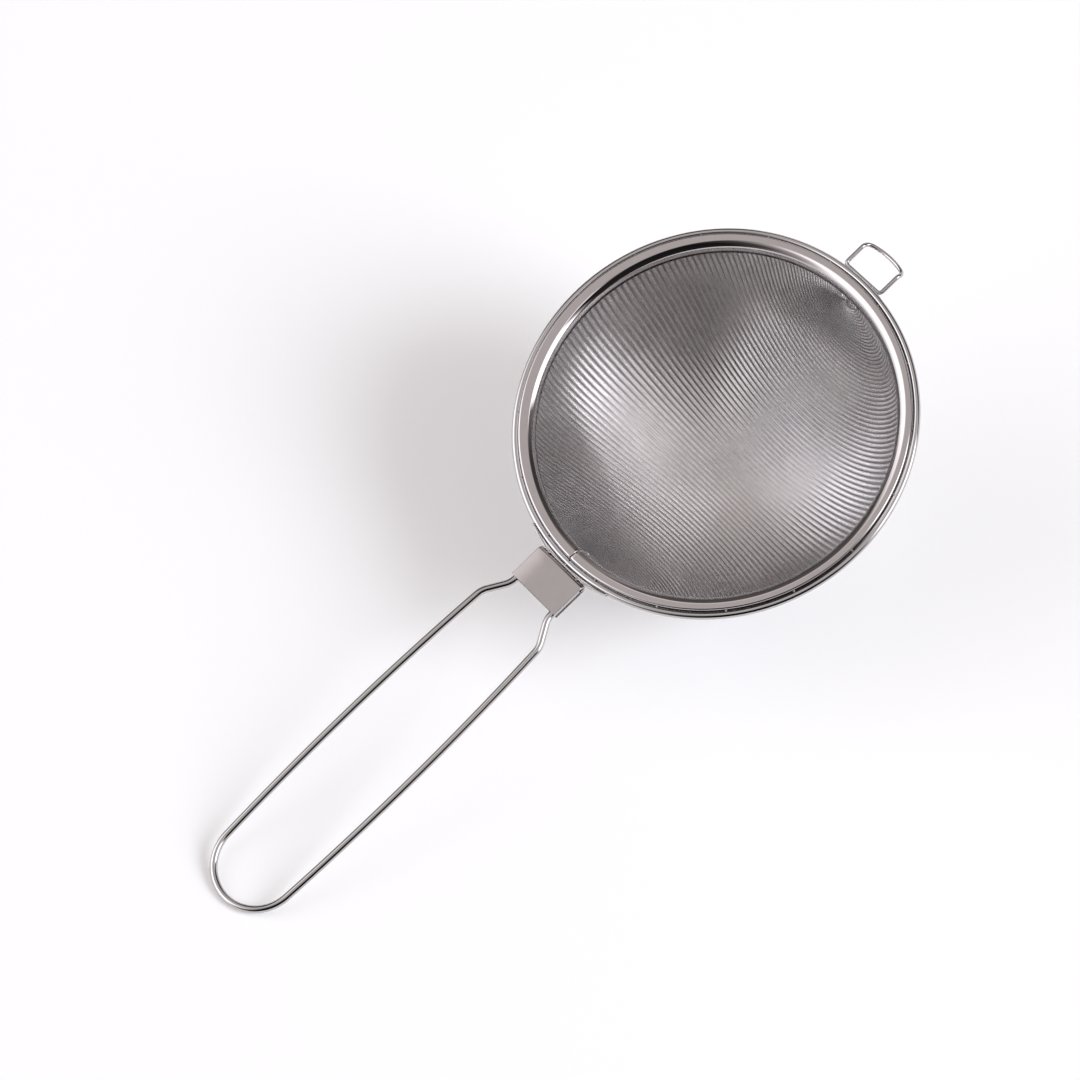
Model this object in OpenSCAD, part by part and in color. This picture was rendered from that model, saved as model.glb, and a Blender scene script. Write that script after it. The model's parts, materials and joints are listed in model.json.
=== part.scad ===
// Tea strainer: a woven steel cup held in a pressed rim, with a wire handle and a small
// hook for the edge of a cup. It lies the way it is put down on a table: the cup and the
// end of the handle both touch the table at z = 0. The origin is on the table, halfway
// along the strainer. +X points from the handle to the hook, +Z up.

/* [Rim] */
// Diameter over the hoop around the rim
rim_d = 99.8; // [94:0.2:110]
// Thickness of the hoop wire around the rim
hoop_wire_d = 1.8; // [1.4:0.1:2]
// Thickness of the sheet that the rim ring is pressed from
ring_t = 0.4; // [0.3:0.05:0.4]
// Width of the flat lip on top of the rim ring
lip_w = 0.65; // [0.5:0.05:0.9]
// Radius of the rounded inner side of the rim ring
ring_round_r = 2.7; // [2.7:0.05:3]
// Depth of the rim ring
ring_h = 3.7; // [3.6:0.1:4.4]
// Thickness of the wire inside the rim ring
core_wire_d = 1.9; // [1.5:0.1:1.9]
// Width of the seam where the ends of the rim ring meet
seam_w = 0.15; // [0.05:0.05:0.4]
// Number of tacks between the hoop and the rim ring
hoop_tacks_n = 18; // [8:1:24]

/* [Cup] */
// Thickness of the woven cloth
cloth_t = 0.5; // [0.4:0.05:0.55]
// Height of the straight wall between the lip and the round bottom
cup_wall = 5; // [4.5:0.5:12]

/* [Handle] */
// Distance from the centre of the rim to the far end of the handle, on its centre line
handle_reach = 163.2; // [155:0.1:190]
// Thickness of the handle wire
handle_wire_d = 1.9; // [1.5:0.1:2.2]
// Distance between the two legs where they leave the clip, on their centre lines
neck_w = 13.1; // [12.5:0.1:13.2]
// Largest distance between the two legs
grip_w = 23.9; // [23.7:0.1:25]
// Radius of the round end of the handle
handle_end_r = 11.1; // [10.8:0.1:11.3]
// Distance from the centre of the rim to the widest place of the handle
grip_middle = 116; // [112:1:118]
// Radius of the bends between the neck and the legs
neck_bend_r = 5.5; // [4:0.5:6]
// Angle at which the legs spread after the clip
neck_spread = 32; // [30:1:38]

/* [Clip] */
// Width of the clip across the handle
clip_w = 15.3; // [15.2:0.1:17]
// Length of the clip along the handle
clip_len = 10; // [9:0.5:12]
// Thickness of the clip's sheet
clip_t = 0.5; // [0.3:0.1:0.6]
// Thickness of the saddle strip between the clip and the hoop
saddle_t = 0.4; // [0.3:0.1:0.5]
// Height of the saddle strip
saddle_h = 2.4; // [2.2:0.1:2.8]
// Width of the saddle strip's straight middle
saddle_mid_w = 13.2; // [12:0.2:14]

/* [Hook] */
// Distance between the hook's legs, on their centre lines
hook_w = 12; // [10:0.5:14]
// Length of the hook's straight legs
hook_leg = 4.6; // [3:0.1:8]
// Thickness of the hook wire
hook_wire_d = 1.1; // [0.9:0.1:1.3]
// Radius of the hook's corners
hook_corner_r = 2; // [1.6:0.1:2.5]
// Radius of the hook's bowed tip
hook_bow_r = 14; // [10:1:30]
// Angle at which the hook's tip is bent down
hook_drop = 40; // [5:1:50]

/* [Hidden] */
$fn = 96;
wire_fn = 24;               // round wires bent to a full ring, and tacks
wire_sides = 16;            // sides of a wire that follows a path
fit = 0.03;                 // play between parts that lie against each other
tack_d = 0.6;
weld_d = 0.9;
// Rim: radii from the rim's axis, heights from the top of the lip
hoop_r = (rim_d - hoop_wire_d) / 2;
ring_out_r = hoop_r - hoop_wire_d / 2 - fit;
edge_r = ring_t + 0.1;      // outer radius of the ring's two outer edges
edge_x = ring_out_r - edge_r;
round_x = edge_x - lip_w;
leg_h = 0.6;                // straight end of the ring's inner side
wire_z = 0.2 - ring_h / 2;  // height of hoop and handle wire
seam_a = seam_w / ring_out_r * 180 / PI;
// Cup
cup_r = round_x - ring_round_r + ring_t + fit + cloth_t;
flare_r = ring_round_r - ring_t - fit;
core_off = (flare_r - cloth_t - core_wire_d / 2 - fit) * sqrt(0.5);
// Handle, from the round end to the neck
wire_r = handle_wire_d / 2;
grip_half = grip_w / 2;
end_x = handle_reach - handle_end_r;
leg_r = (pow(end_x - grip_middle, 2) / (grip_half - handle_end_r)
         + handle_end_r + grip_half) / 2;
leg_end_a = asin((end_x - grip_middle) / (leg_r - handle_end_r));
leg_x = 69.8;               // where the bowed leg meets the neck bends
leg_a = asin((grip_middle - leg_x) / leg_r);
leg_y = grip_half - leg_r * (1 - cos(leg_a));
neck_y = neck_w / 2;
neck_run = (leg_y - neck_y - neck_bend_r * (1 + cos(leg_a) - 2 * cos(neck_spread)))
           / sin(neck_spread);
neck_x = leg_x + neck_bend_r * (sin(leg_a) - 2 * sin(neck_spread))
         - neck_run * cos(neck_spread);
// Clip and saddle strip
saddle_x = rim_d / 2 + fit;
saddle_out_x = saddle_x + saddle_t;
wing_a = 2 * atan(saddle_mid_w / 2 / saddle_x);
fold_r = wire_r + clip_t + fit;
fold_x = saddle_out_x + fit + fold_r;
clip_flat = clip_len - fold_r;
// Hook: its straight base lies against the hoop, below and outside
hook_off = (hoop_wire_d + hook_wire_d) / 2 * sqrt(0.5) + fit;
hook_x = hoop_r + hook_off;
hook_z = wire_z - hook_off;
hook_half = hook_w / 2;
hook_bend_r = 1.5;
hook_base_r = 1;
hook_bend_x = hook_x + hook_base_r + hook_leg;
bow_a = asin((hook_half - hook_corner_r) / (hook_bow_r - hook_corner_r));
bow_x = -(hook_bow_r - hook_corner_r) * cos(bow_a);
// Lying position: the cup and the end of the handle both touch the table
rest_tilt = asin((cup_r - wire_r) / norm([handle_reach, wire_z + cup_wall]))
            + atan((wire_z + cup_wall) / handle_reach);
rim_z = cup_r + cup_wall * cos(rest_tilt);
far_x = -handle_reach * cos(rest_tilt) - wire_z * sin(rest_tilt) - wire_r;
hook_turn = rest_tilt - hook_drop;
tip_x = (hook_bend_x + hook_bend_r * sin(hook_drop)) * cos(rest_tilt)
        - (hook_z - hook_bend_r * (1 - cos(hook_drop))) * sin(rest_tilt)
        + (bow_x + hook_bow_r) * cos(hook_turn) + hook_wire_d / 2;
shift_x = -(far_x + tip_x) / 2;

// Puts a part that is drawn with the rim level and its lip at z = 0 the way it lies
module lie() {
    translate([shift_x, 0, rim_z]) rotate([0, -rest_tilt, 0]) children();
}

// Round edge of a sheet in section: outer radius r, from angle a over the angle turn
module sheet_arc(r, t, a, turn = 90) {
    far = 3 * r;
    intersection() {
        difference() {
            circle(r = r);
            circle(r = r - t);
        }
        polygon([[0, 0], for (k = [0 : 0.5 : 1]) far * [cos(a + k * turn), sin(a + k * turn)]]);
    }
}

// A wire's path is a list of stations, each [point, direction]

// Stations of a bend of radius r round the point c, from angle a over the angle turn
function bend_path(c, r, a, turn, steps) = [for (k = [0 : steps])
    let (b = a + turn * k / steps)
        [[c.x + r * cos(b), c.y + r * sin(b), 0], sign(turn) * [-sin(b), cos(b), 0]]];

// The station on the other side of the strainer, passed in the other direction
function flip(s) = [[s[0].x, -s[0].y, s[0].z], [-s[1].x, s[1].y, -s[1].z]];

// The path without a station that repeats the one before it
function without_repeats(path) = [for (i = [0 : len(path) - 1])
    if (i == 0 || norm(path[i][0] - path[max(i, 1) - 1][0]) > 0.01) path[i]];

// v turned about the Y axis by the angle a
function turn_y(v, a) = [v.x * cos(a) + v.z * sin(a), v.y, v.z * cos(a) - v.x * sin(a)];

// Round wire along a path, with flat ends or closed to a loop
module wire(d, path, closed = false) {
    last = len(path) - 1;
    points = [for (s = path) let (side = cross(s[1], [0, 0, 1]) / norm(cross(s[1], [0, 0, 1])))
        for (k = [0 : wire_sides - 1]) let (a = 360 * k / wire_sides)
            s[0] + d / 2 * (cos(a) * side + sin(a) * cross(side, s[1]))];
    walls = [for (i = [0 : closed ? last : last - 1], k = [0 : wire_sides - 1])
        let (j = i == last ? 0 : i + 1, m = (k + 1) % wire_sides)
            for (f = [[i * wire_sides + k, j * wire_sides + k, j * wire_sides + m],
                      [i * wire_sides + k, j * wire_sides + m, i * wire_sides + m]]) f];
    ends = closed ? [] : [[for (k = [0 : wire_sides - 1]) k],
                          [for (k = [wire_sides - 1 : -1 : 0]) last * wire_sides + k]];
    polyhedron(points, concat(walls, ends));
}

// Mesh cup: round bottom, short straight wall and an edge turned out inside the rim ring
module mesh_cup() {
    color("silver") lie() rotate_extrude() {
        translate([0, -cup_wall]) sheet_arc(cup_r, cloth_t, -90);
        translate([cup_r - cloth_t, -cup_wall]) square([cloth_t, cup_wall - ring_round_r]);
        translate([round_x, -ring_round_r]) sheet_arc(flare_r, cloth_t, 110, 70);
    }
}

// Rim ring: a hollow ring pressed from one strip, with a flat lip and a rounded inner side
module rim_ring() {
    back_x = cup_r + fit;
    color("lightsteelblue") lie() rotate([0, 0, 180 + seam_a / 2])
        rotate_extrude(angle = 360 - seam_a) {
            translate([round_x - ring_round_r, -ring_round_r - leg_h]) square([ring_t, leg_h]);
            translate([round_x, -ring_round_r]) sheet_arc(ring_round_r, ring_t, 90);
            translate([round_x, -ring_t]) square([lip_w, ring_t]);
            translate([edge_x, -edge_r]) sheet_arc(edge_r, ring_t, 0);
            translate([ring_out_r - ring_t, edge_r - ring_h])
                square([ring_t, ring_h - 2 * edge_r]);
            translate([edge_x, edge_r - ring_h]) sheet_arc(edge_r, ring_t, -90);
            translate([back_x, -ring_h]) square([edge_x - back_x, ring_t]);
        }
}

// Core wire: lies inside the ring, the edge of the cloth is turned over it
module core_wire() {
    color("gray") lie() translate([0, 0, core_off - ring_round_r]) rotate_extrude()
        translate([round_x - core_off, 0]) circle(d = core_wire_d, $fn = wire_fn);
}

// Hoop: a closed ring of round wire round the outside of the rim ring
module hoop_wire() {
    color("gainsboro") lie() translate([0, 0, wire_z]) rotate_extrude()
        translate([hoop_r, 0]) circle(d = hoop_wire_d, $fn = wire_fn);
}

// Tacks in the groove between the hoop and the ring, on the upper side
module hoop_tacks() {
    step = 360 / hoop_tacks_n;
    color("dimgray") lie() for (i = [0 : hoop_tacks_n - 1]) rotate([0, 0, (i + 0.5) * step])
        translate([ring_out_r + 0.1, 0, wire_z + hoop_wire_d * 0.38])
            sphere(d = tack_d, $fn = wire_fn);
}

// Saddle strip: a sheet bent in three, its wings lying against the hoop
module saddle_strip() {
    half_in = saddle_mid_w / 2;
    half_out = half_in + saddle_t * tan(wing_a / 2);
    tip = [-cos(wing_a), sin(wing_a)];
    side = [[-saddle_x, half_in], saddle_x * tip, saddle_out_x * tip, [-saddle_out_x, half_out]];
    color("lightgray") lie() translate([0, 0, wire_z - saddle_h / 2]) linear_extrude(saddle_h)
        polygon([for (p = side) p, for (i = [3 : -1 : 0]) [side[i].x, -side[i].y]]);
}

// Clip: a sheet folded over the two ends of the handle wire
module clip() {
    color("silver") lie() translate([-fold_x, clip_w / 2, wire_z]) rotate([90, 0, 0])
        linear_extrude(clip_w) {
            sheet_arc(fold_r, clip_t, -90, 180);
            for (z = [-fold_r, fold_r - clip_t]) translate([-clip_flat, z])
                square([clip_flat, clip_t]);
        }
}

// Tacks that join the saddle strip to the hoop and to the clip
module clip_tacks() {
    color("dimgray") lie() {
        for (a = [-wing_a, 0, wing_a]) rotate([0, 0, a])
            translate([-saddle_x + 0.1, 0, wire_z + 0.6]) sphere(d = weld_d, $fn = wire_fn);
        for (y = [-5, 5], z = [-1, 1])
            translate([-saddle_out_x - 0.1, y, wire_z + z]) sphere(d = weld_d, $fn = wire_fn);
    }
}

// Handle: one wire with a round end, two bowed legs and a narrow neck held in the clip
module handle_wire() {
    half = concat(
        bend_path([-end_x, 0], handle_end_r, 180, leg_end_a - 90, 14),
        bend_path([-grip_middle, grip_half - leg_r], leg_r, 90 + leg_end_a,
                  -leg_end_a - leg_a, 8),
        bend_path([-leg_x - neck_bend_r * sin(leg_a), leg_y - neck_bend_r * cos(leg_a)],
                  neck_bend_r, 90 - leg_a, leg_a - neck_spread, 5),
        bend_path([-neck_x, neck_y + neck_bend_r], neck_bend_r, -90 - neck_spread,
                  neck_spread, 5),
        [[[-fold_x, neck_y, 0], [1, 0, 0]]]);
    joined = without_repeats(half);
    color("silver") lie() translate([0, 0, wire_z])
        wire(handle_wire_d, concat([for (i = [len(joined) - 1 : -1 : 1]) flip(joined[i])], joined));
}

// Hook: a closed loop of thin wire, its bowed tip bent down
module hook_wire() {
    corner_y = hook_half - hook_corner_r;
    tip = concat(bend_path([0, corner_y], hook_corner_r, 90, bow_a - 90, 8),
                 bend_path([bow_x, 0], hook_bow_r, bow_a, -bow_a, 4));
    half = concat(
        [[[hook_x, 0, 0], [0, 1, 0]]],
        bend_path([hook_x + hook_base_r, hook_half - hook_base_r], hook_base_r, 180, -90, 6),
        [for (k = [0 : 4]) let (a = hook_drop * k / 4)
            [[hook_bend_x + hook_bend_r * sin(a), hook_half, hook_bend_r * (cos(a) - 1)],
             [cos(a), 0, -sin(a)]]],
        [for (s = tip)
            [[hook_bend_x, 0, -hook_bend_r] + turn_y(s[0] + [0, 0, hook_bend_r], hook_drop),
             turn_y(s[1], hook_drop)]]);
    joined = without_repeats(half);
    color("gainsboro") lie() translate([0, 0, hook_z])
        wire(hook_wire_d, concat(joined, [for (i = [len(joined) - 2 : -1 : 1]) flip(joined[i])]),
             closed = true);
}

// Welds between the base of the hook and the hoop
module hook_welds() {
    color("dimgray") lie() for (y = [-3.6, 0, 3.6])
        translate([hook_x - 0.25, y, hook_z + 0.75]) sphere(d = weld_d, $fn = wire_fn);
}

mesh_cup();
rim_ring();
core_wire();
hoop_wire();
hoop_tacks();
saddle_strip();
clip();
clip_tacks();
handle_wire();
hook_wire();
hook_welds();
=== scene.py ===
"""A wire tea strainer lying on a pale table: cloth cup, pressed rim, hoop, clip, handle and hook.

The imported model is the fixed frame. Each piece is built with the rim level and its lip at zero
height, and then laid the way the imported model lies.
"""

import json
import logging
import math
from dataclasses import dataclass
from enum import Enum
from typing import Any, Iterable, Sequence

import bpy
import numpy as np
from mathutils import Matrix, Vector, noise

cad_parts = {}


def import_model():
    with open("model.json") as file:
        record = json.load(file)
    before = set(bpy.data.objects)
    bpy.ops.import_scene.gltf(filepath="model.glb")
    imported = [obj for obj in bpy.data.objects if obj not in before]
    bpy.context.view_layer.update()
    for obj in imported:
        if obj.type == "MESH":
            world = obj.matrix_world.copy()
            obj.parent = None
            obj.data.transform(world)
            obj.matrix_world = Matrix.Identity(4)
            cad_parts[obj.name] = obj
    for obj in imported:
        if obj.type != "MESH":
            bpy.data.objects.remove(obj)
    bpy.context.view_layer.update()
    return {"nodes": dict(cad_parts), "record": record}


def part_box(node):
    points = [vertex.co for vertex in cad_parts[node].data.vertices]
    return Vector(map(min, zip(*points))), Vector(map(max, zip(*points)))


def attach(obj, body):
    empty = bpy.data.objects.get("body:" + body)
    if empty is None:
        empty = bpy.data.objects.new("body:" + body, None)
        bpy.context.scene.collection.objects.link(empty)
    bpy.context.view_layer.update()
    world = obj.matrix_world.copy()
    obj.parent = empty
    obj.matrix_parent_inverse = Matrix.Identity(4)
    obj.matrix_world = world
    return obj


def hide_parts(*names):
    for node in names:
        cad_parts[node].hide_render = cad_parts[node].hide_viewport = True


MM = 0.001
SAME_PLACE = 0.005 * MM
BODY = "root"
LOG = logging.getLogger("tea_strainer")

Station = tuple[Vector, Vector]


# ---------------------------------------------------------------- shader helpers


class Value:
    """A number that changes over a surface: wraps a socket, so that maths reads as maths."""

    def __init__(self, nodes: "Shader", socket: bpy.types.NodeSocket) -> None:
        """Wraps socket, which belongs to the node tree of nodes."""
        self.nodes = nodes
        self.socket = socket

    def _math(self, operation: str, first: Any, second: Any) -> "Value":
        """Adds a Math node.

        Args:
            operation: the Math node's operation.
            first: its first value, a Value or a number.
            second: its second value, a Value or a number.

        Returns:
            The node's result.
        """
        return self.nodes.add("ShaderNodeMath", {"operation": operation}, {0: first, 1: second})

    def __add__(self, other: Any) -> "Value":
        """self + other."""
        return self._math("ADD", self, other)

    def __sub__(self, other: Any) -> "Value":
        """self - other."""
        return self._math("SUBTRACT", self, other)

    def __rsub__(self, other: Any) -> "Value":
        """other - self."""
        return self._math("SUBTRACT", other, self)

    def __mul__(self, other: Any) -> "Value":
        """self * other."""
        return self._math("MULTIPLY", self, other)

    def __truediv__(self, other: Any) -> "Value":
        """self / other."""
        return self._math("DIVIDE", self, other)

    def __pow__(self, other: Any) -> "Value":
        """self ** other."""
        return self._math("POWER", self, other)

    __radd__ = __add__
    __rmul__ = __mul__

    def clamped(self) -> "Value":
        """self, kept between 0 and 1."""
        return self.nodes.add("ShaderNodeClamp", {}, {"Value": self})

    def wave(self) -> "Value":
        """The sine of self."""
        return self._math("SINE", self, 0.0)


class Shader:
    """The node tree of one finish or of the room, with one method that adds any node."""

    def __init__(self, tree: bpy.types.NodeTree) -> None:
        """Empties tree and builds in it."""
        self.tree = tree
        tree.nodes.clear()

    def node(self, kind: str, settings: dict[str, Any], inputs: dict[Any, Any]) -> Any:
        """Adds a node.

        Args:
            kind: the node's Blender type.
            settings: its properties. "stops" fills a colour ramp with (place, colour) pairs.
            inputs: a value, or what to link, for each of its sockets.

        Returns:
            The node.
        """
        made = self.tree.nodes.new(kind)
        for name, value in settings.items():
            if name == "stops":
                self._fill(made.color_ramp, value)
            else:
                setattr(made, name, value)
        for name, value in inputs.items():
            source = value.socket if isinstance(value, Value) else value
            if isinstance(source, bpy.types.NodeSocket):
                self.tree.links.new(source, made.inputs[name])
            else:
                made.inputs[name].default_value = source
        return made

    def add(self, kind: str, settings: dict[str, Any], inputs: dict[Any, Any],
            output: Any = 0) -> Value:
        """Adds a node and gives one of its outputs.

        Args:
            kind: the node's Blender type.
            settings: its properties.
            inputs: a value, or what to link, for each of its sockets.
            output: the name or number of the output that is wanted.

        Returns:
            That output.
        """
        return Value(self, self.node(kind, settings, inputs).outputs[output])

    @staticmethod
    def _fill(ramp: bpy.types.ColorRamp, stops: Sequence[tuple[float, tuple[float, ...]]]) -> None:
        """Gives ramp the stops, each (place, colour)."""
        while len(ramp.elements) < len(stops):
            ramp.elements.new(1.0)
        ramp.elements[0].position = 0.0
        for element, (place, colour) in zip(ramp.elements, stops):
            element.position = place
            element.color = colour

    def place(self, scale: tuple[float, float, float] = (1.0, 1.0, 1.0)) -> Value:
        """The place on the piece, in metres times scale."""
        where = self.add("ShaderNodeTexCoord", {}, {}, "Object")
        return self.add("ShaderNodeVectorMath", {"operation": "MULTIPLY"}, {0: where, 1: scale})

    def noise(self, where: Value, scale: float, detail: float = 2.0) -> Value:
        """Smooth noise from 0 to 1 at where."""
        return self.add("ShaderNodeTexNoise", {},
                        {"Vector": where, "Scale": scale, "Detail": detail})

    def blend(self, share: Any, first: Any, second: Any) -> Value:
        """A colour between first and second.

        Args:
            share: 0 gives first and 1 gives second.
            first: a colour.
            second: a colour.

        Returns:
            The mixed colour.
        """
        factor, one, other, result = 0, 6, 7, 2  # the colour sockets' numbers
        return self.add("ShaderNodeMix", {"data_type": "RGBA"},
                        {factor: share, one: first, other: second}, result)


def grey(level: float, warmth: float = 0.0) -> tuple[float, float, float, float]:
    """A grey colour, redder with warmth."""
    return (level * (1 + warmth), level * (1 - warmth), level * (1 - 0.6 * warmth), 1.0)


class Finish:
    """What every finish has: a material with one Principled shader."""

    name = "finish"
    slot = ""

    def material(self) -> bpy.types.Material:
        """The finish's material, made once."""
        found = bpy.data.materials.get(self.name)
        if found is None:
            found = bpy.data.materials.new(self.name)
            found.use_nodes = True
            self.build(Shader(found.node_tree))
        return found

    def build(self, s: Shader) -> None:
        """Fills the material's node tree."""
        raise NotImplementedError

    @staticmethod
    def surface(s: Shader, inputs: dict[str, Any]) -> None:
        """Ends the tree with a Principled shader that has these inputs."""
        shader = s.node("ShaderNodeBsdfPrincipled", {}, inputs)
        s.node("ShaderNodeOutputMaterial", {}, {"Surface": shader.outputs[0]})


@dataclass(frozen=True)
class DrawnWire(Finish):
    """Polished steel wire, with faint lines along it from the drawing die."""

    name: str = "drawn_wire"
    slot: str = "wire"
    level: float = 0.52
    roughness: float = 0.03
    lines: tuple[float, float, float] = (60.0, 2600.0, 2600.0)

    def build(self, s: Shader) -> None:
        """Fills the material's node tree."""
        lines = s.noise(s.place(self.lines), 1.0, 3.0)
        haze = s.noise(s.place(), 240.0, 3.0)
        normal = s.add("ShaderNodeBump", {}, {"Strength": 0.05, "Distance": 0.02 * MM,
                                              "Height": lines})
        self.surface(s, {
            "Base Color": s.blend(haze, grey(self.level * 0.95, 0.012), grey(self.level, 0.006)),
            "Metallic": 1.0,
            "Roughness": self.roughness + 0.04 * (haze - 0.5) + 0.02 * lines,
            "Normal": normal,
        })


@dataclass(frozen=True)
class PressedSheet(Finish):
    """Bright rolled steel sheet: a faint grain and some handling marks.

    Below a given height along up, where the ring is pressed down on the cloth, shade is painted.
    """

    name: str = "pressed_sheet"
    slot: str = "sheet"
    level: float = 0.52
    warmth: float = 0.02
    roughness: float = 0.07
    grain: tuple[float, float, float] = (300.0, 5200.0, 300.0)
    up: tuple[float, float, float] = (0.0, 0.0, 1.0)
    painted_shade_below: float = -1.0

    def build(self, s: Shader) -> None:
        """Fills the material's node tree."""
        grain = s.noise(s.place(self.grain), 1.0, 3.0)
        marks = s.noise(s.place(), 420.0, 5.0)
        normal = s.add("ShaderNodeBump", {}, {"Strength": 0.06, "Distance": 0.02 * MM,
                                              "Height": grain + 0.4 * marks})
        height = s.add("ShaderNodeVectorMath", {"operation": "DOT_PRODUCT"},
                       {0: s.place(), 1: self.up}, "Value")
        # Painted shade: below the given height along up, the colour blends to a dark grey, as
        # shade where the ring meets the cloth.
        unshaded_share = ((height - self.painted_shade_below) / (0.5 * MM)).clamped()
        light = s.blend(marks, grey(self.level * 0.96, self.warmth),
                        grey(self.level * 1.03, self.warmth))
        self.surface(s, {
            "Base Color": s.blend(unshaded_share, grey(self.level * 0.15, 0.05), light),
            "Metallic": 1.0,
            "Roughness": self.roughness + 0.06 * (marks - 0.5) + 0.03 * (grain - 0.5),
            "Normal": normal,
        })


@dataclass(frozen=True)
class WovenSteel(Finish):
    """Cloth of fine steel wires packed side by side over thicker ones.

    The thick wires are in the mesh. The fine ones cross them and are a bump. The map "weave"
    counts thick wires in U and fine ones in V; the second map is 1 in U along a fold, where a
    highlight streak is painted into the colour and the roughness is a little lower.
    """

    name: str = "woven_steel"
    slot: str = "mesh"
    level: float = 1.0
    roughness: float = 0.2

    def build(self, s: Shader) -> None:
        """Fills the material's node tree."""
        counts = s.add("ShaderNodeUVMap", {"uv_map": "weave"}, {})
        parts = s.node("ShaderNodeSeparateXYZ", {}, {0: counts})
        wire = Value(s, parts.outputs[0])
        fine = Value(s, parts.outputs[1])
        top = (wire * math.tau + math.pi / 2).wave() * 0.5 + 0.5
        row = (fine * math.tau).wave()
        weave = (fine * math.tau + wire * math.tau).wave() * 0.5 + 0.5
        patches = s.noise(s.place(), 130.0, 4.0)
        normal = s.add("ShaderNodeBump", {}, {"Strength": 0.6, "Distance": 0.05 * MM,
                                              "Height": row * 0.5 + weave})
        # The painted highlight streak along the folds, read from its map.
        lit_streak = s.add("ShaderNodeSeparateXYZ", {},
                       {0: s.add("ShaderNodeUVMap", {"uv_map": "painted_streak"}, {})})
        # Painted shade and highlight: the colour is darker in the valleys between the thick wires,
        # varies with the weave and random patches, and is lighter along the painted fold streak.
        shade = (0.45 + 0.55 * top ** 0.6) * (0.85 + 0.15 * weave) * (0.9 + 0.2 * patches)
        shade = shade * (0.9 + 0.2 * lit_streak)
        self.surface(s, {
            "Base Color": s.blend(shade.clamped(), grey(self.level * 0.12, 0.04),
                                  grey(self.level, 0.008)),
            "Metallic": 1.0,
            "Roughness": self.roughness + 0.06 * (patches - 0.5) + 0.1 * (1 - top) - 0.03 * lit_streak,
            "Normal": normal,
        })


@dataclass(frozen=True)
class WeldMetal(Finish):
    """Small resistance welds: duller than the wire, slightly tinted by the heat."""

    name: str = "weld_metal"
    slot: str = "weld"
    level: float = 0.5

    def build(self, s: Shader) -> None:
        """Fills the material's node tree."""
        scale = s.noise(s.place(), 1600.0, 4.0)
        normal = s.add("ShaderNodeBump", {}, {"Strength": 0.3, "Distance": 0.05 * MM,
                                              "Height": scale})
        self.surface(s, {
            "Base Color": s.blend(scale, grey(self.level * 0.7, 0.06), grey(self.level, 0.02)),
            "Metallic": 1.0,
            "Roughness": 0.3 + 0.2 * scale,
            "Normal": normal,
        })


@dataclass(frozen=True)
class PaleTable(Finish):
    """A matt white table top with a very faint tone."""

    name: str = "pale_table"
    level: float = 0.62
    glow: float = 0.27

    def build(self, s: Shader) -> None:
        """Fills the material's node tree."""
        tone = s.noise(s.place(), 6.0, 3.0)
        self.surface(s, {
            "Base Color": s.blend(tone, grey(self.level * 0.99, 0.004), grey(self.level, 0.002)),
            "Roughness": 0.9,
            "Emission Color": grey(1.0, 0.015),
            "Emission Strength": self.glow,
        })


# ---------------------------------------------------------------- mesh helpers


@dataclass(frozen=True)
class Lay:
    """How the strainer lies: takes places with the rim level to places on the table."""

    matrix: Matrix

    @classmethod
    def of_frame(cls, record: dict[str, Any], wire_drop: float) -> "Lay":
        """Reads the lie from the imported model.

        Args:
            record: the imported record, whose clip_top mount has the rim's upward direction.
            wire_drop: how far the hoop's middle lies below the lip, in metres.

        Returns:
            The lie.
        """
        up = next(Vector(m["axis"]) for m in record["mounts"] if m["name"] == "clip_top")
        low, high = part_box("hoop_wire")
        left = Vector((0.0, 1.0, 0.0))
        ahead = left.cross(up)
        turn = Matrix((ahead, left, up)).transposed().to_4x4()
        return cls(Matrix.Translation((low + high) / 2 + up * wire_drop) @ turn)


def mesh_object(name: str, points: Iterable[Sequence[float]], faces: Iterable[Sequence[int]],
                crease: float = 40.0) -> bpy.types.Object:
    """Makes an object from points and faces.

    Args:
        name: the object's name.
        points: its corners, in metres, with the rim level.
        faces: the corners of each face, by number.
        crease: the angle in degrees from which an edge is sharp; 0 makes every face flat.

    Returns:
        The object, in the scene.
    """
    mesh = bpy.data.meshes.new(name)
    mesh.from_pydata([tuple(p) for p in points], [], [tuple(f) for f in faces])
    mesh.validate()
    if crease:
        mesh.shade_smooth()
        mesh.set_sharp_from_angle(angle=math.radians(crease))
    made = bpy.data.objects.new(name, mesh)
    bpy.context.scene.collection.objects.link(made)
    return made


def grid_faces(rows: int, columns: int, closed_rows: bool = False,
               closed_columns: bool = False) -> list[tuple[int, ...]]:
    """Faces of a grid of points that is listed row by row.

    Args:
        rows: how many rows.
        columns: how many points in a row.
        closed_rows: whether the last row joins the first.
        closed_columns: whether the last column joins the first.

    Returns:
        The faces.
    """
    return [(i * columns + j, i * columns + (j + 1) % columns,
             (i + 1) % rows * columns + (j + 1) % columns, (i + 1) % rows * columns + j)
            for i in range(rows if closed_rows else rows - 1)
            for j in range(columns if closed_columns else columns - 1)]


def swept_faces(rows: int, columns: int, closed: bool = False) -> list[tuple[int, ...]]:
    """Faces of a section that is swept along a path.

    Args:
        rows: how many times the section is repeated.
        columns: how many points the section has.
        closed: whether the path joins up with itself; if not, both ends get a face.

    Returns:
        The faces.
    """
    faces: list[tuple[int, ...]] = grid_faces(rows, columns, closed, True)
    if not closed:
        end = (rows - 1) * columns
        faces += [tuple(reversed(range(columns))), tuple(range(end, end + columns))]
    return faces


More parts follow.
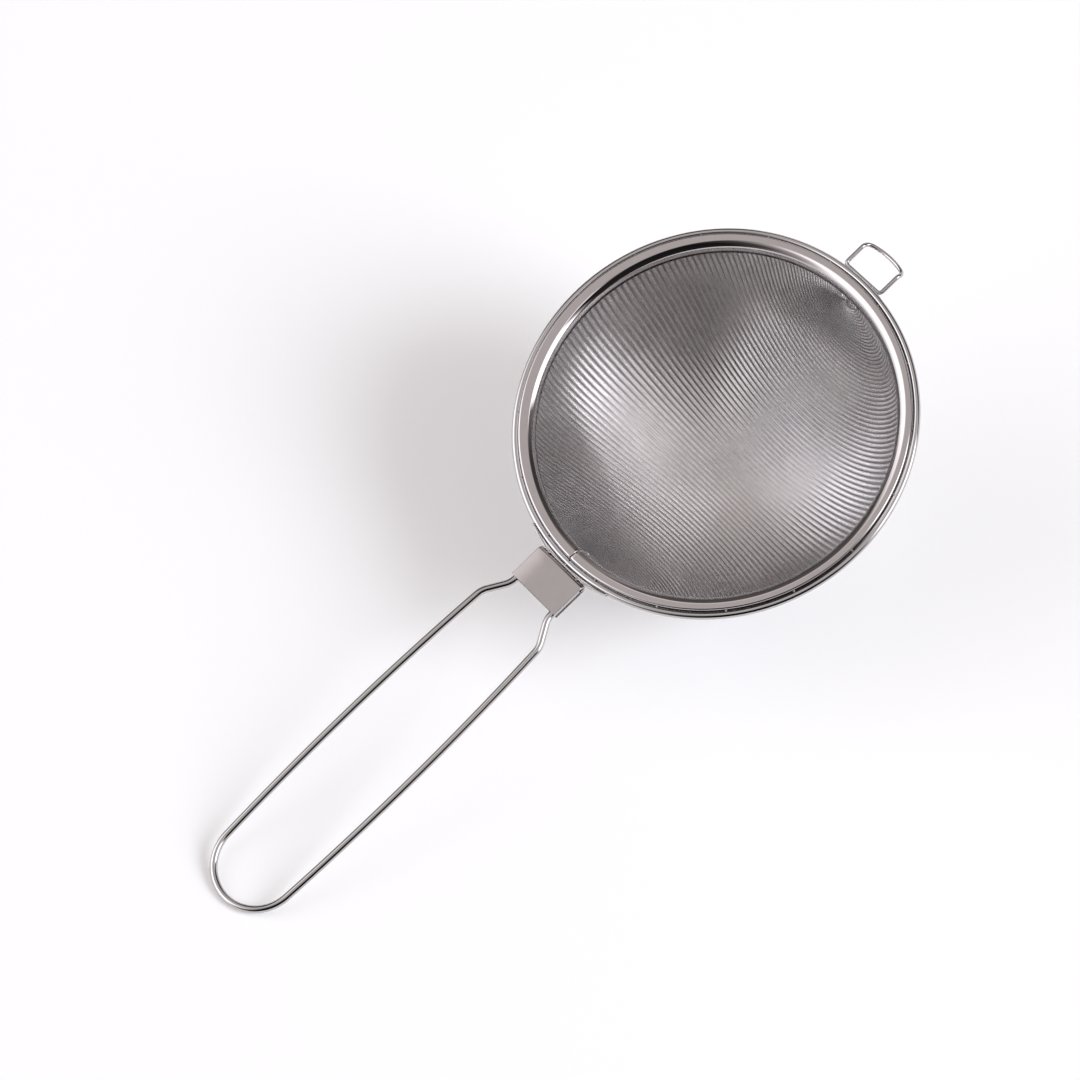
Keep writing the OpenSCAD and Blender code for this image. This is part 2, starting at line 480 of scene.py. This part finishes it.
def tube(name: str, path: Sequence[Station], radius: float, sides: int = 20,
         closed: bool = False) -> bpy.types.Object:
    """A round wire along a path.

    Args:
        name: the object's name.
        path: the wire's stations, each a point and a direction.
        radius: the wire's radius.
        sides: points round the wire.
        closed: whether the wire joins up with itself.

    Returns:
        The object. An open wire has slightly rounded ends.
    """
    up = Vector((0.0, 0.0, 1.0))
    stations = [(p, d.normalized(), 1.0) for p, d in path]
    if not closed:
        (first, ahead, _), (last, onward, _) = stations[0], stations[-1]
        nose, tip = 0.3 * radius, 0.7
        stations = ([(first, ahead, tip), (first + ahead * nose, ahead, 1.0)] + stations[1:-1]
                    + [(last - onward * nose, onward, 1.0), (last, onward, tip)])
    points: list[Vector] = []
    for centre, ahead, share in stations:
        side = ahead.cross(up).normalized()
        top = side.cross(ahead)
        points += [centre + radius * share * (math.cos(a) * side + math.sin(a) * top)
                   for a in (math.tau * k / sides for k in range(sides))]
    return mesh_object(name, points, swept_faces(len(stations), sides, closed))


def bend(centre: tuple[float, float], radius: float, start: float, turn: float,
         steps: int) -> list[Station]:
    """Stations along a bend that lies level.

    Args:
        centre: the middle of the bend.
        radius: its radius, on the wire's centre line.
        start: the angle where it starts, in degrees.
        turn: the angle that it goes through, in degrees.
        steps: how many parts it is drawn in.

    Returns:
        Its stations.
    """
    stations = []
    for k in range(steps + 1):
        a = math.radians(start + turn * k / steps)
        ahead = Vector((-math.sin(a), math.cos(a), 0.0)) * math.copysign(1.0, turn)
        stations.append((Vector((centre[0] + radius * math.cos(a),
                                 centre[1] + radius * math.sin(a), 0.0)), ahead))
    return stations


def both_sides(half: Sequence[Station], closed: bool = False) -> list[Station]:
    """A path that is the same on the left and right, from its left half.

    Args:
        half: stations of the left half, the first on the middle line.
        closed: whether the half also ends on the middle line.

    Returns:
        The whole path, without repeated stations.
    """
    kept = [half[0]] + [b for a, b in zip(half, half[1:]) if (b[0] - a[0]).length > SAME_PLACE]
    flip = Vector((1.0, -1.0, 1.0))
    other = [(p * flip, -(d * flip)) for p, d in reversed(kept[1:-1] if closed else kept[1:])]
    return kept + other if closed else other + kept


def arc(radius: float, start: float, end: float, steps: int,
        centre: tuple[float, float] = (0.0, 0.0)) -> list[tuple[float, float]]:
    """Points of a section's rounded part, from the angle start to end in degrees."""
    return [(centre[0] + radius * math.cos(a), centre[1] + radius * math.sin(a))
            for a in (math.radians(start + (end - start) * k / steps) for k in range(steps + 1))]


class Assembly:
    """What each sub-assembly does with its pieces once they are built."""

    def dress(self, piece: bpy.types.Object, lay: Lay, finish: Finish, *nodes: str) -> None:
        """Lays a piece, gives it its finish and ties it to the frame.

        Args:
            piece: the piece, with the rim level.
            lay: how the strainer lies.
            finish: its finish.
            *nodes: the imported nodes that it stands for.
        """
        piece.data.transform(lay.matrix)
        piece.data.materials.clear()
        piece.data.materials.append(finish.material())
        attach(piece, BODY)
        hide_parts(*nodes)
        LOG.info("%s: %d faces", piece.name, len(piece.data.polygons))


# ---------------------------------------------------------------- the strainer


@dataclass
class Cup(Assembly):
    """The woven cup: thick wires side by side in one direction, fine ones packed across."""

    radius: float = 44.9 * MM
    wall: float = 5.0 * MM
    top: float = 2.75 * MM
    pitch: float = 1.15 * MM
    ridge: float = 0.065 * MM
    fine_pitch: float = 0.3 * MM
    spread: float = 0.45
    plain_from: float = 60.0
    plain_at: float = 80.0
    per_wire: int = 8
    rows: int = 72
    left_fold: tuple[float, float, float] = (43.0, 21.0, 1.5)
    right_fold: tuple[float, float, float] = (57.0, 16.0, 1.2)
    fold_run: float = 70.0
    fold_depth: float = 1.5 * MM
    fold_reach: float = 15.0
    fold_round: float = 0.3
    # How far each side of a fold the painted highlight streak reaches, in degrees.
    painted_streak_reach: float = 7.0

    def build(self, lay: Lay) -> None:
        """Builds the cup."""
        wires = round(math.pi * self.radius / self.pitch / 2) * 2
        columns = wires * self.per_wire + 1
        share = np.linspace(-1.0, 1.0, columns)
        flat = share * math.pi / 2
        swing = np.linspace(-math.pi / 2, math.pi / 2, self.rows + 1)
        lift = np.concatenate(([-1.0, -0.5], np.zeros(len(swing)), [0.5, 1.0]))
        swing = np.concatenate(([-math.pi / 2] * 2, swing, [math.pi / 2] * 2))
        swing_grid, flat_grid = np.meshgrid(swing, flat, indexing="ij")
        angle = flat_grid + self.spread / 2 * np.sin(2 * flat_grid) * np.sin(swing_grid) ** 2
        count = share * wires / 2
        fade = np.clip((math.radians(self.plain_at) - np.abs(flat))
                       / math.radians(self.plain_at - self.plain_from), 0, 1)
        ridge = self.ridge * fade * (np.abs(np.cos(math.pi * count)) ** 0.8 - 0.5)
        near = self._near_fold(angle, swing_grid)
        reach = self.radius - ridge[None, :] - self._folds(near, swing_grid)
        x = reach * np.sin(angle)
        y = reach * np.cos(angle) * np.sin(swing_grid)
        z = -reach * np.cos(angle) * np.cos(swing_grid) - self.wall
        z += np.abs(lift)[:, None] * (self.wall - self.top)
        points = np.stack((x, y, z), axis=-1).reshape(-1, 3)
        piece = mesh_object("mesh_cup_cloth", points, grid_faces(len(swing), columns),
                            crease=120.0)
        along = np.broadcast_to((swing * self.radius / self.fine_pitch)[:, None], x.shape)
        across = np.broadcast_to(count[None, :], x.shape)
        self._map(piece, "weave", across.ravel(), along.ravel())
        # The painted highlight streak along each fold, which the cloth's finish paints lighter.
        painted_streak = np.exp(-(near / math.radians(self.painted_streak_reach)) ** 2) * np.cos(swing_grid)
        self._map(piece, "painted_streak", painted_streak.ravel(), np.zeros(painted_streak.size))
        self.dress(piece, lay, WovenSteel(), "mesh_cup")

    def _near_fold(self, angle: np.ndarray, swing: np.ndarray) -> np.ndarray:
        """The angle to the nearer of the two soft folds, where the wall meets the bottom.

        Each fold has an angle in the middle of the cup, by how much it comes in at fold_run
        degrees towards the left end of the wires, and the power of its curve.

        Args:
            angle: angle from the middle plane, across the thick wires, in radians.
            swing: angle along the thick wires, in radians.

        Returns:
            The angle to the fold, in radians.
        """
        rise = np.clip(swing / math.radians(self.fold_run), 0, 1.2)
        left, right = (np.radians(out - shift * rise ** power)
                       for out, shift, power in (self.left_fold, self.right_fold))
        return np.minimum(np.abs(angle + left), np.abs(angle - right))

    def _folds(self, near: np.ndarray, swing: np.ndarray) -> np.ndarray:
        """How far the cloth stands in from a true ball, for the angle near to a fold."""
        share = np.sqrt((near / math.radians(self.fold_reach)) ** 2 + self.fold_round ** 2)
        fade = np.clip(1.1 - np.abs(swing) / math.radians(80), 0, 1)
        return self.fold_depth * fade * (1 - np.exp(self.fold_round - share))

    @staticmethod
    def _map(piece: bpy.types.Object, name: str, first: np.ndarray, second: np.ndarray) -> None:
        """Writes two values per point as a UV map, which the cloth's finish reads by name."""
        layer = piece.data.uv_layers.new(name=name)
        corners = np.empty(len(piece.data.loops), dtype=np.int64)
        piece.data.loops.foreach_get("vertex_index", corners)
        layer.data.foreach_set("uv", np.stack((first[corners], second[corners]), -1).ravel())


@dataclass
class Rim(Assembly):
    """The pressed ring round the cup's edge, and the core wire inside it."""

    outer: float = 48.07 * MM
    lip: float = 0.65 * MM
    edge: float = 0.5 * MM
    round: float = 2.7 * MM
    depth: float = 3.7 * MM
    sheet: float = 0.4 * MM
    leg: float = 0.6 * MM
    back: float = 45.2 * MM
    seam: float = 0.15 * MM
    seam_round: tuple[tuple[float, float], ...] = ((0.0, 0.05), (0.0012, 0.012))
    seam_end: float = 0.003
    # Height in the ring's frame below which its colour is painted dark, as shade where it meets
    # the cloth.
    painted_shade_below: float = -2.6 * MM
    steps: int = 360

    def section(self) -> list[tuple[float, float]]:
        """The ring's section as (radius, height), once round its sheet."""
        edge_x = self.outer - self.edge
        round_x = edge_x - self.lip
        inner = self.edge - self.sheet
        foot = -self.round - self.leg
        low = self.edge - self.depth
        outside = ([(round_x - self.round, foot)]
                   + arc(self.round, 180, 90, 20, (round_x, -self.round))
                   + arc(self.edge, 90, 0, 8, (edge_x, -self.edge))
                   + arc(self.edge, 0, -90, 8, (edge_x, low))
                   + [(self.back, -self.depth)])
        inside = ([(self.back, self.sheet - self.depth)]
                  + arc(inner, -90, 0, 4, (edge_x, low))
                  + arc(inner, 0, 90, 4, (edge_x, -self.edge))
                  + arc(self.round - self.sheet, 90, 180, 12, (round_x, -self.round))
                  + [(round_x - self.round + self.sheet, foot)])
        return outside + inside

    def build(self, lay: Lay) -> None:
        """Builds the ring with its butt seam on the handle's side."""
        section = self.section()
        middle = (sum(x for x, _ in section) / len(section), -self.depth / 2)
        gap = self.seam / self.outer / 2
        turns = [(gap + further, shrink) for further, shrink in self.seam_round]
        first = gap + self.seam_end
        turns += [(first + (math.tau - 2 * first) * k / self.steps, 0.0)
                  for k in range(self.steps + 1)]
        turns += [(math.tau - a, s) for a, s in reversed(turns[:2])]
        points = []
        for angle, shrink in turns:
            a = angle + math.pi
            for x, z in section:
                x, z = x + (middle[0] - x) * shrink, z + (middle[1] - z) * shrink
                points.append((x * math.cos(a), x * math.sin(a), z))
        piece = mesh_object("rim_ring_sheet", points, swept_faces(len(turns), len(section)))
        # The ring's finish paints shade below this height along the rim's up, near the cloth.
        up = lay.matrix.to_3x3().col[2]
        low = lay.matrix.translation.dot(up) + self.painted_shade_below
        self.dress(piece, lay, PressedSheet(name="ring_sheet", slot="ring", roughness=0.05,
                                            up=tuple(up), painted_shade_below=low), "rim_ring")

    def dress_core(self, core: bpy.types.Object) -> None:
        """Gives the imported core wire, which stays as it is, its finish."""
        core.data.materials.clear()
        core.data.materials.append(DrawnWire().material())


@dataclass
class Hoop(Assembly):
    """The round wire around the ring, and the tacks that hold it."""

    radius: float = 49.0 * MM
    wire: float = 1.8 * MM
    drop: float = 1.65 * MM
    tacks: int = 18
    tack: float = 0.3 * MM
    tack_out: float = 0.07 * MM
    tack_lift: float = 0.38

    def build(self, lay: Lay) -> None:
        """Builds hoop and tacks."""
        lower = Vector((0.0, 0.0, -self.drop))
        path = [(p + lower, d) for p, d in bend((0.0, 0.0), self.radius, 0, 360, 360)[:-1]]
        self.dress(tube("hoop_round_wire", path, self.wire / 2, 24, True), lay, DrawnWire(),
                   "hoop_wire")
        inner = self.radius - self.wire / 2 + self.tack_out
        places = []
        for k in range(self.tacks):
            a = math.tau * (k + 0.5) / self.tacks
            places.append(Vector((inner * math.cos(a), inner * math.sin(a),
                                  -self.drop + self.tack_lift * self.wire)))
        self.dress(beads("hoop_tack_beads", places, self.tack, 3), lay, WeldMetal(), "hoop_tacks")


def beads(name: str, places: Sequence[Vector], radius: float, seed: int) -> bpy.types.Object:
    """Small uneven beads of weld metal.

    Args:
        name: the object's name.
        places: their centres.
        radius: their largest radius.
        seed: tells one set's unevenness from another's.

    Returns:
        One object with all the beads.
    """
    rings, sides = 8, 14
    lumps, full, uneven = 1.3, 0.88, 0.1
    points: list[Vector] = []
    faces: list[tuple[int, ...]] = []
    for number, place in enumerate(places):
        start = len(points)
        for i in range(rings + 1):
            tilt = math.pi * i / rings
            for j in range(sides):
                a = math.tau * j / sides
                out = Vector((math.sin(tilt) * math.cos(a), math.sin(tilt) * math.sin(a),
                              math.cos(tilt)))
                lump = noise.noise(out * lumps + Vector((number, seed, 0.5)))
                points.append(place + out * radius * (full + uneven * lump))
        faces += [tuple(start + v for v in f) for f in grid_faces(rings + 1, sides, False, True)]
    return mesh_object(name, points, faces)


@dataclass
class Clip(Assembly):
    """The folded clip, the saddle strip behind it and the tacks between them."""

    rim: float = 49.93 * MM
    width: float = 15.3 * MM
    length: float = 10.0 * MM
    sheet: float = 0.5 * MM
    wire: float = 1.9 * MM
    play: float = 0.03 * MM
    drop: float = 1.65 * MM
    strip: float = 0.4 * MM
    strip_height: float = 2.4 * MM
    strip_middle: float = 13.2 * MM
    flat_steps: int = 6
    fold_steps: int = 24
    sheet_corner: float = 0.16 * MM
    strip_corner: float = 0.1 * MM
    tip_share: float = 0.25
    bead: float = 0.45 * MM

    @property
    def fold(self) -> float:
        """Outer radius of the clip's fold."""
        return self.wire / 2 + self.sheet + self.play

    @property
    def fold_x(self) -> float:
        """Distance from the rim's axis to the middle of the fold."""
        return self.rim + self.strip + self.play + self.fold

    @property
    def wing(self) -> float:
        """Angle at which the strip's wings lie back, in radians."""
        return 2 * math.atan(self.strip_middle / 2 / self.rim)

    def build(self, lay: Lay) -> None:
        """Builds clip, strip and tacks."""
        self.dress(self._folded(), lay, PressedSheet(), "clip")
        self.dress(self._strip(), lay, PressedSheet(), "saddle_strip")
        self.dress(beads("clip_tack_beads", self._tacks(), self.bead, 7), lay, WeldMetal(),
                   "clip_tacks")

    def _folded(self) -> bpy.types.Object:
        """The clip: its section goes along the bottom, round the fold and back on top."""
        flat = self.length - self.fold
        half = self.sheet / 2
        middle = self.fold - half
        steps, turns = self.flat_steps, self.fold_steps
        line = [(-flat * (1 - k / steps), -middle, (0.0, -1.0)) for k in range(steps)]
        line += [(x, z, (x / middle, z / middle)) for x, z in arc(middle, -90, 90, turns)]
        line += [(-flat * (k + 1) / steps, middle, (0.0, 1.0)) for k in range(steps)]
        across = self._rounded(self.width / 2, half, self.sheet_corner)
        points = []
        for x, z, (nx, nz) in line:
            for y, t in across:
                points.append((-self.fold_x + x + nx * t, y, z + nz * t - self.drop))
        return mesh_object("clip_sheet", points, swept_faces(len(line), len(across)))

    @staticmethod
    def _rounded(half_width: float, half: float, corner: float) -> list[tuple[float, float]]:
        """Section of a sheet with rounded side edges, as (across, out from its middle)."""
        points = []
        for sy, st, start in ((1, -1, -90), (1, 1, 0), (-1, 1, 90), (-1, -1, 180)):
            points += arc(corner, start, start + 90, 4,
                          (sy * (half_width - corner), st * (half - corner)))
        return points

    def _strip(self) -> bpy.types.Object:
        """The saddle strip: a straight middle, and wings that lie against the hoop."""
        half = self.strip_middle / 2
        mid = self.rim + self.strip / 2
        knee = half + self.strip / 2 * math.tan(self.wing / 2)
        tip = Vector((-mid * math.cos(self.wing), mid * math.sin(self.wing)))
        run = (tip - Vector((-mid, knee))).length
        bend_half = 0.07 * knee
        path: list[tuple[float, float, float]] = []
        for k in range(8):
            path.append((-mid, (knee - bend_half) * k / 8, 0.0))
        for k in range(9):
            turn = self.wing * k / 8
            along = (k / 4 - 1) * bend_half
            bow = (1 - math.cos(turn)) * bend_half
            path.append((-mid + (max(along, 0) * math.sin(self.wing) + 0.3 * bow),
                         knee + (along if along < 0 else along * math.cos(self.wing)), turn))
        for k in range(1, 7):
            along = bend_half + (run - bend_half) * k / 6
            path.append((-mid + along * math.sin(self.wing), knee + along * math.cos(self.wing),
                         self.wing))
        whole = [(x, -y, -a) for x, y, a in reversed(path[1:])] + path
        across = self._rounded(self.strip_height / 2, self.strip / 2, self.strip_corner)
        points = []
        for x, y, a in whole:
            thin = min(1.0, self.tip_share + 4.0 * (1 - abs(y) / tip.y))
            for z, t in across:
                t = (t + self.strip / 2) * thin - self.strip / 2
                z *= 0.6 + 0.4 * thin
                points.append((x - t * math.cos(a), y + t * math.sin(a), z - self.drop))
        return mesh_object("saddle_strip_sheet", points, swept_faces(len(whole), len(across)))

    def _tacks(self) -> list[Vector]:
        """Centres of the tacks."""
        near = self.rim - 0.1 * MM
        places = [Vector((-near * math.cos(a), near * math.sin(a), 0.6 * MM - self.drop))
                  for a in (-self.wing, 0.0, self.wing)]
        far = self.rim + self.strip + 0.1 * MM
        return places + [Vector((-far, y * MM, z * MM - self.drop))
                         for y in (-5, 5) for z in (-1, 1)]


@dataclass
class Handle(Assembly):
    """The handle: one wire with a round end, two bowed legs and a narrow neck."""

    reach: float = 163.2 * MM
    wire: float = 1.9 * MM
    drop: float = 1.65 * MM
    neck: float = 13.1 * MM
    widest: float = 23.9 * MM
    end: float = 11.1 * MM
    middle: float = 116.0 * MM
    neck_bend: float = 5.5 * MM
    spread: float = 32.0
    leg_start: float = 69.8 * MM
    inside: float = 51.87 * MM

    def path(self) -> list[Station]:
        """The wire's centre line, from one end in the clip to the other."""
        half_grip = self.widest / 2
        end_x = self.reach - self.end
        leg = ((end_x - self.middle) ** 2 / (half_grip - self.end) + self.end + half_grip) / 2
        end_a = math.degrees(math.asin((end_x - self.middle) / (leg - self.end)))
        top = math.asin((self.middle - self.leg_start) / leg)
        top_a = math.degrees(top)
        leg_y = half_grip - leg * (1 - math.cos(top))
        slope = math.radians(self.spread)
        r = self.neck_bend
        run = (leg_y - self.neck / 2 - r * (1 + math.cos(top) - 2 * math.cos(slope)))
        run /= math.sin(slope)
        neck_x = self.leg_start + r * (math.sin(top) - 2 * math.sin(slope)) - run * math.cos(slope)
        half = bend((-end_x, 0.0), self.end, 180, end_a - 90, 40)
        half += bend((-self.middle, half_grip - leg), leg, 90 + end_a, -end_a - top_a, 30)
        half += bend((-self.leg_start - r * math.sin(top), leg_y - r * math.cos(top)), r,
                     90 - top_a, top_a - self.spread, 12)
        half += bend((-neck_x, self.neck / 2 + r), r, -90 - self.spread, self.spread, 12)
        half += [(Vector((-self.inside, self.neck / 2, 0.0)), Vector((1.0, 0.0, 0.0)))]
        lower = Vector((0.0, 0.0, -self.drop))
        return [(p + lower, d) for p, d in both_sides(half)]

    def build(self, lay: Lay) -> None:
        """Builds the handle."""
        self.dress(tube("handle_bent_wire", self.path(), self.wire / 2, 24), lay, DrawnWire(),
                   "handle_wire")


@dataclass
class Hook(Assembly):
    """The hook: a closed loop of thin wire whose bowed tip is bent down, and its welds."""

    hoop: float = 49.0 * MM
    hoop_wire: float = 1.8 * MM
    drop: float = 1.65 * MM
    width: float = 12.0 * MM
    leg: float = 4.6 * MM
    wire: float = 1.1 * MM
    corner: float = 2.0 * MM
    bow: float = 14.0 * MM
    base_corner: float = 1.0 * MM
    tip_bend: float = 1.5 * MM
    tip_drop: float = 40.0
    play: float = 0.03 * MM
    bead: float = 0.45 * MM
    bead_in: float = 0.25 * MM
    bead_lift: float = 0.75 * MM
    bead_pitch: float = 3.6 * MM

    @property
    def offset(self) -> float:
        """How far the hook's base lies out from the hoop's middle, and as far below it."""
        return (self.hoop_wire + self.wire) / 2 * math.sqrt(0.5) + self.play

    def path(self) -> list[Station]:
        """The loop's centre line."""
        half = self.width / 2
        base_x = self.hoop + self.offset
        bend_x = base_x + self.base_corner + self.leg
        corner_y = half - self.corner
        bow_a = math.degrees(math.asin(corner_y / (self.bow - self.corner)))
        bow_x = -(self.bow - self.corner) * math.cos(math.radians(bow_a))
        side = [(Vector((base_x, 0.0, 0.0)), Vector((0.0, 1.0, 0.0)))]
        side += bend((base_x + self.base_corner, half - self.base_corner), self.base_corner,
                     180, -90, 10)
        for k in range(7):
            a = math.radians(self.tip_drop) * k / 6
            side.append((Vector((bend_x + self.tip_bend * math.sin(a), half,
                                 self.tip_bend * (math.cos(a) - 1))),
                         Vector((math.cos(a), 0.0, -math.sin(a)))))
        turn = Matrix.Rotation(math.radians(self.tip_drop), 3, "Y")
        lift = Vector((0.0, 0.0, self.tip_bend))
        foot = Vector((bend_x, 0.0, -self.tip_bend))
        for p, d in (bend((0.0, corner_y), self.corner, 90, bow_a - 90, 12)
                     + bend((bow_x, 0.0), self.bow, bow_a, -bow_a, 8)):
            side.append((foot + turn @ (p + lift), turn @ d))
        lower = Vector((0.0, 0.0, -self.drop - self.offset))
        return [(p + lower, d) for p, d in both_sides(side, closed=True)]

    def build(self, lay: Lay) -> None:
        """Builds hook and welds."""
        self.dress(tube("hook_bent_wire", self.path(), self.wire / 2, 20, True), lay, DrawnWire(),
                   "hook_wire")
        base_x = self.hoop + self.offset - self.bead_in
        base_z = self.bead_lift - self.drop - self.offset
        places = [Vector((base_x, k * self.bead_pitch, base_z)) for k in (-1, 0, 1)]
        self.dress(beads("hook_weld_beads", places, self.bead, 11), lay, WeldMetal(), "hook_welds")


# ---------------------------------------------------------------- the room


class WallRing(Enum):
    """The room's walls by height: what is seen level, half way up and just under the ceiling.

    Each is a list of (direction, brightness), the direction in degrees from +X towards +Y.
    """

    LEVEL = ((0, 1.1), (44, 1.2), (50, 0.12), (75, 0.06), (106, 0.08), (113, 1.3), (165, 1.4),
             (178, 0.4), (195, 0.1), (205, 0.02), (285, 0.03), (292, 0.5), (314, 0.7),
             (320, 0.5), (330, 1.1))
    HALF = ((0, 0.06), (20, 0.1), (40, 0.35), (50, 0.1), (98, 0.12), (108, 1.3),
            (120, 2.1), (160, 2.1), (172, 0.6), (188, 0.08), (204, 0.01), (268, 0.02),
            (276, 0.6), (283, 3.2), (316, 3.2), (324, 0.2), (345, 0.06))
    HIGH = ((0, 0.1), (25, 0.16), (45, 0.5), (62, 1.0), (105, 0.9), (158, 1.1), (168, 0.4),
            (184, 0.04), (232, 0.02), (243, 0.3), (252, 1.7), (326, 1.9), (338, 0.4), (350, 0.12))


@dataclass
class Studio:
    """The table, the room around it and the light."""

    ceiling: float = 0.6
    below: float = 0.9
    half_from: tuple[float, float] = (0.2, 0.32)
    high_from: tuple[float, float] = (0.76, 0.82)
    ceiling_from: tuple[float, float] = (0.83, 0.87)
    level_from: tuple[float, float] = (-0.02, 0.0)
    table: float = 4.0
    key_turn: float = 299.6
    key_height: float = 36.8
    lamp_distance: float = 6.0
    key_size: float = 3.1
    key_power: float = 240.0
    key_tint: tuple[float, float, float] = (0.93, 1.0, 1.07)
    panel_turn: float = 8.0
    panel_height: float = 13.0
    panel_size: tuple[float, float] = (5.4, 1.9)
    panel_power: float = 300.0
    glow: float = 1.12
    warm: tuple[float, float, float, float] = (1.06, 0.98, 0.96, 1.0)
    cool: tuple[float, float, float, float] = (1.0, 0.985, 1.03, 1.0)

    def build(self, shown_in: Sequence[bpy.types.Object]) -> None:
        """Builds table, room and light.

        Args:
            shown_in: the pieces that the side panel lights.
        """
        floor = mesh_object("table_top", [
            (x * self.table, y * self.table, 0.0) for y in (-1, 1) for x in (-1, 1)],
            [(0, 1, 3, 2)], crease=0.0)
        floor.data.materials.append(PaleTable().material())
        self._room()
        self._lamps(shown_in)

    def _room(self) -> None:
        """The room by direction, which the steel shows. The camera sees a plain pale room."""
        world = bpy.data.worlds.new("studio_room")
        world.use_nodes = True
        bpy.context.scene.world = world
        s = Shader(world.node_tree)
        ahead = s.add("ShaderNodeTexCoord", {}, {}, "Generated")
        parts = s.node("ShaderNodeSeparateXYZ", {}, {0: ahead})
        x, y, z = (Value(s, parts.outputs[k]) for k in range(3))
        turn = s.add("ShaderNodeMath", {"operation": "ARCTAN2"}, {0: y, 1: x}) / math.tau
        turn = s.add("ShaderNodeMath", {"operation": "FRACT"}, {0: turn + 1.0})
        level, half, high = (self._ring(s, turn, ring) for ring in WallRing)
        room = self._step(z, self.half_from, level, half)
        room = self._step(z, self.high_from, room, high)
        room = self._step(z, self.ceiling_from, room, self.ceiling)
        room = self._step(z, self.level_from, self.below, room) * self.glow
        seen = s.add("ShaderNodeLightPath", {}, {}, "Is Camera Ray")
        room = room * (1 - seen) + 1.0 * seen
        tone = s.blend((room - 0.9).clamped(), self.warm, self.cool)
        back = s.node("ShaderNodeBackground", {}, {"Strength": room, "Color": tone})
        s.node("ShaderNodeOutputWorld", {}, {"Surface": back.outputs[0]})

    @staticmethod
    def _step(z: Value, rise: tuple[float, float], below: Any, above: Any) -> Value:
        """below under the rise's first height, above over its second, and a blend between."""
        start, end = rise
        share = ((z - start) / (end - start)).clamped()
        return below * (1 - share) + above * share

    @staticmethod
    def _ring(s: Shader, turn: Value, ring: WallRing) -> Value:
        """The brightness of one ring of walls, in quarters: a ramp stops at one."""
        stops = [(a / 360, (v / 4, v / 4, v / 4, 1.0)) for a, v in ring.value]
        stops.append((1.0, stops[0][1]))
        return s.add("ShaderNodeValToRGB", {"stops": stops}, {0: turn}) * 4.0

    def _lamp(self, name: str, turn: float, rise: float, size: tuple[float, float],
              power: float) -> bpy.types.Object:
        """An oval soft lamp that points at the strainer.

        Args:
            name: the lamp's name.
            turn: its direction in degrees, from +X towards +Y.
            rise: its height in degrees.
            size: its width and height.
            power: its power in watts.

        Returns:
            The lamp.
        """
        lamp = bpy.data.lights.new(name, "AREA")
        lamp.shape = "ELLIPSE"
        lamp.size, lamp.size_y = size
        lamp.energy = power
        made = bpy.data.objects.new(name, lamp)
        a, b = math.radians(turn), math.radians(rise)
        away = Vector((math.cos(a) * math.cos(b), math.sin(a) * math.cos(b), math.sin(b)))
        made.location = away * self.lamp_distance
        made.rotation_euler = away.to_track_quat("Z", "Y").to_euler()
        bpy.context.scene.collection.objects.link(made)
        return made

    def _lamps(self, shown_in: Sequence[bpy.types.Object]) -> None:
        """The key lamp, which the steel doesn't show, and a side panel.

        Args:
            shown_in: the pieces that the panel lights.
        """
        size = (self.key_size, self.key_size)
        key = self._lamp("key_lamp", self.key_turn, self.key_height, size, self.key_power)
        key.visible_glossy = False
        key.data.color = self.key_tint
        panel = self._lamp("side_panel", self.panel_turn, self.panel_height, self.panel_size,
                           self.panel_power)
        panel.visible_diffuse = False
        lit = bpy.data.collections.new("side_panel_pieces")
        for piece in shown_in:
            lit.objects.link(piece)
        panel.light_linking.receiver_collection = lit


@dataclass
class Viewpoint:
    """The camera: where it stands, seen from the middle of the rim."""

    turn: float = 41.55
    lean: float = 29.73
    distance: float = 960.65 * MM
    right: float = 41.47 * MM
    above: float = 29.13 * MM
    sensor: float = 36.0
    lens: float = 400.0 / 3.0
    far: float = 20.0

    def build(self, lay: Lay) -> None:
        """Builds the camera and makes it the scene's."""
        camera = bpy.data.cameras.new("view")
        camera.lens = self.lens
        camera.sensor_width = self.sensor
        camera.clip_end = self.far
        made = bpy.data.objects.new("view", camera)
        a, b = math.radians(self.turn), math.radians(self.lean)
        right = Vector((math.cos(a), -math.sin(a), 0.0))
        up = Vector((math.sin(a) * math.cos(b), math.cos(a) * math.cos(b), math.sin(b)))
        back = right.cross(up)
        rim = lay.matrix.translation
        place = rim - right * self.right - up * self.above + back * self.distance
        made.matrix_world = Matrix.Translation(place) @ Matrix(
            (right, up, back)).transposed().to_4x4()
        bpy.context.scene.collection.objects.link(made)
        bpy.context.scene.camera = made


def main() -> None:
    """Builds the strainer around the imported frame, then the room and the camera."""
    logging.basicConfig(level=logging.INFO, format="%(name)s: %(message)s")
    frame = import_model()
    rim = Rim()
    hoop = Hoop()
    lay = Lay.of_frame(frame["record"], hoop.drop)
    for part in (Cup(), rim, hoop, Clip(), Handle(), Hook()):
        part.build(lay)
    rim.dress_core(frame["nodes"]["core_wire"])
    Studio().build([bpy.data.objects[name] for name in ("mesh_cup_cloth", "clip_sheet")])
    Viewpoint().build(lay)
    bpy.context.scene.view_settings.view_transform = "Standard"


if __name__ == "__main__":
    main()
